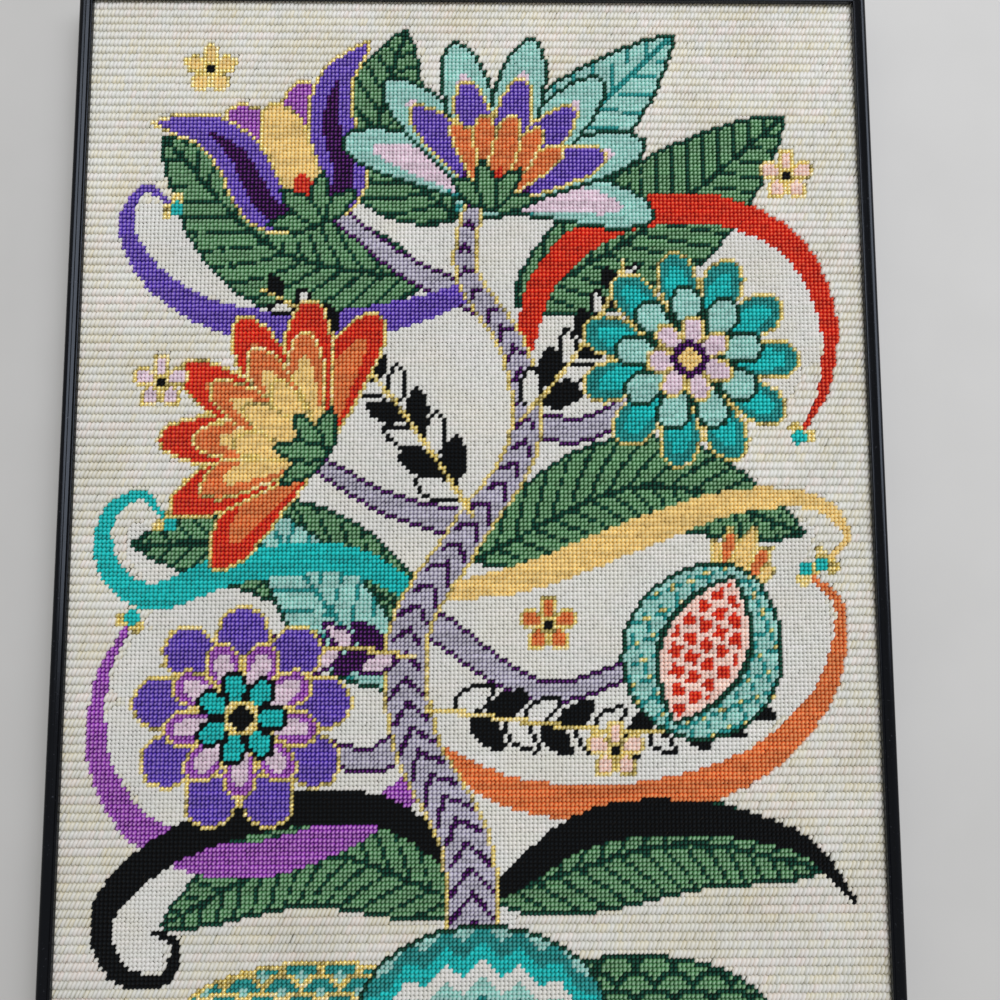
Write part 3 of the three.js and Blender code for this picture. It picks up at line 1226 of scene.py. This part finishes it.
class NEEDLEPOINT_OT_stitches(bpy.types.Operator):
    """Work every stitch of the chart, one piece for each thread"""
    bl_idname = "needlepoint.stitches"
    bl_label = "Work the Stitches"

    def execute(self, context):
        threads = context.scene.needlepoint_threads
        for name in THREADS:
            base = list(getattr(threads, name))
            material = metallised_thread(base) if name == "gold" else cotton_thread(name, base)
            dress(work_thread(name, context.scene.needlepoint_stitches), material)
        return {"FINISHED"}


class NEEDLEPOINT_OT_reverse(bpy.types.Operator):
    """Work the backs of the stitches, row by row"""
    bl_idname = "needlepoint.reverse"
    bl_label = "Work the Reverse"

    def execute(self, context):
        dress(work_reverse(context.scene.needlepoint_threads), reverse_thread())
        return {"FINISHED"}


class NEEDLEPOINT_OT_canvas(bpy.types.Operator):
    bl_idname = "needlepoint.canvas"
    bl_label = "Stretch the Canvas"

    def execute(self, context):
        # The canvas sheet's colour and its holes are painted shade.
        canvas = closed_sheet("bare_canvas", CANVAS_LOW, CANVAS_TOP)
        weave_with_painted_hole_shade = mono_canvas(list(context.scene.needlepoint_frame.bare_canvas))
        dress(canvas, weave_with_painted_hole_shade, "needlepoint_canvas")
        return {"FINISHED"}


class NEEDLEPOINT_OT_rails(bpy.types.Operator):
    """Enamel the four rails"""
    bl_idname = "needlepoint.rails"
    bl_label = "Finish the Rails"

    def execute(self, context):
        enamel = gloss_enamel(list(context.scene.needlepoint_frame.enamel))
        for name in RAILS:
            rail = bpy.data.objects[name]
            rail.data.materials.clear()
            rail.data.materials.append(enamel)
        return {"FINISHED"}


# The studio, in metres. The window faces the frame from its upper right.
WINDOW_PLACE = (0.55, 0.52, 1.30)
WINDOW_SIZE = (1.4, 1.1)
WINDOW_COLOUR = "F4F7FF"
ROOM_COLOUR = "F4F0E8"
FLOOR_HALF = 2.0
SENSOR = 36
NEAREST_SEEN = 0.01


class NEEDLEPOINT_OT_studio(bpy.types.Operator):
    """Set the floor, the soft light and the camera"""
    bl_idname = "needlepoint.studio"
    bl_label = "Set the Studio"

    def execute(self, context):
        stage = context.scene.needlepoint_stage
        mesh = bpy.data.meshes.new("studio_floor")
        signs = ((-1, -1), (1, -1), (1, 1), (-1, 1))
        corners = [(x * FLOOR_HALF, y * FLOOR_HALF, 0) for x, y in signs]
        mesh.from_pydata(corners, [], [(0, 1, 2, 3)])
        mesh.materials.append(studio_paper(list(stage.floor)))
        floor = add_object("studio_floor", mesh)

        light = bpy.data.lights.new("window_light", "AREA")
        light.shape = "RECTANGLE"
        light.color = linear(WINDOW_COLOUR)
        light.size, light.size_y = WINDOW_SIZE
        light.energy = stage.light_power
        lamp = add_object("window_light", light)
        lamp.location = WINDOW_PLACE
        lamp.rotation_euler = (-lamp.location).to_track_quat("-Z", "Y").to_euler()

        world = bpy.data.worlds.new("soft_room")
        world.use_nodes = True
        backdrop = world.node_tree.nodes["Background"]
        backdrop.inputs["Color"].default_value = (*linear(ROOM_COLOUR), 1)
        backdrop.inputs["Strength"].default_value = stage.room_light
        context.scene.world = world

        camera = bpy.data.cameras.new("front_camera")
        camera.lens = stage.lens
        camera.sensor_width = SENSOR
        camera.clip_start = NEAREST_SEEN
        eye = add_object("front_camera", camera)
        eye.location = stage.eye
        eye.rotation_euler = stage.aim
        context.scene.camera = eye
        context.scene.view_settings.view_transform = "Standard"
        return {"FINISHED"}


class NEEDLEPOINT_PT_panel(bpy.types.Panel):
    """Lists the steps and the values that they use"""
    bl_idname = "NEEDLEPOINT_PT_panel"
    bl_label = "Framed Needlepoint"
    bl_space_type = "VIEW_3D"
    bl_region_type = "UI"
    bl_category = "Needlepoint"

    def draw(self, context):
        for step in STEPS:
            self.layout.operator(step.bl_idname)
        for group, _ in GROUPS:
            box = self.layout.box()
            values = getattr(context.scene, group)
            for key in type(values).__annotations__:
                box.prop(values, key)


STEPS = (NEEDLEPOINT_OT_stitches, NEEDLEPOINT_OT_reverse, NEEDLEPOINT_OT_canvas,
         NEEDLEPOINT_OT_rails, NEEDLEPOINT_OT_studio)
GROUPS = (
    ("needlepoint_stitches", NeedlepointStitches),
    ("needlepoint_threads", NeedlepointThreads),
    ("needlepoint_frame", NeedlepointFrame),
    ("needlepoint_stage", NeedlepointStage),
)


def register():
    for name, group in GROUPS:
        bpy.utils.register_class(group)
        setattr(bpy.types.Scene, name, PointerProperty(type=group))
    for step in (*STEPS, NEEDLEPOINT_PT_panel):
        bpy.utils.register_class(step)


def unregister():
    for step in (NEEDLEPOINT_PT_panel, *reversed(STEPS)):
        bpy.utils.unregister_class(step)
    for name, group in reversed(GROUPS):
        delattr(bpy.types.Scene, name)
        bpy.utils.unregister_class(group)


def main():
    register()
    bpy.ops.needlepoint.stitches()
    bpy.ops.needlepoint.reverse()
    bpy.ops.needlepoint.canvas()
    bpy.ops.needlepoint.rails()
    bpy.ops.needlepoint.studio()


if __name__ == "__main__":
    main()
